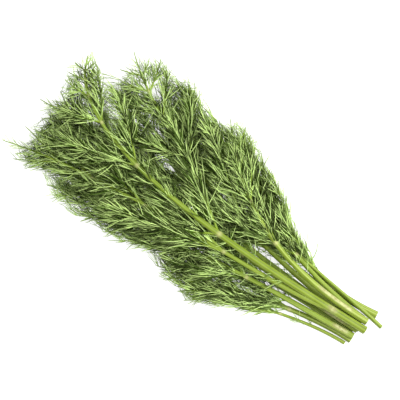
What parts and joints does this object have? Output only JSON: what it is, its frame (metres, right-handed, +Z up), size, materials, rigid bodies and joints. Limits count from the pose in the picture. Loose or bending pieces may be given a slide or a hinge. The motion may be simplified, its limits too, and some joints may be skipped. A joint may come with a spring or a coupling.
{
  "type": "bunch of dill",
  "caption": "Loose bunch of fresh dill lying flat: slim green stems side by side at their cut ends, fanning out into feathery, thread-like leaves.",
  "frame": {"origin": "middle of the bunch's bounding box, on the surface that it lies on", "axes": "+X runs along the bunch from the leaf tips towards the cut ends; +Z is up from the surface; +Y is to the left when looking along +X"},
  "size_m": [0.3022, 0.136, 0.0483],
  "materials": {
    "fresh_leaf": "soft satin green of fresh dill leaves"
  },
  "bodies": {
    "root": {"leafy_stem_1": "fresh_leaf", "leafy_stem_2": "fresh_leaf", "leafy_stem_3": "fresh_leaf", "leafy_stem_4": "fresh_leaf", "leafy_stem_5": "fresh_leaf", "leafy_stem_6": "fresh_leaf", "leafy_stem_7": "fresh_leaf", "leafy_stem_8": "fresh_leaf", "leafy_stem_9": "fresh_leaf", "leafy_stem_10": "fresh_leaf", "leafy_stem_11": "fresh_leaf", "leafy_stem_12": "fresh_leaf", "leafy_stem_13": "fresh_leaf"}
  },
  "joints": []
}
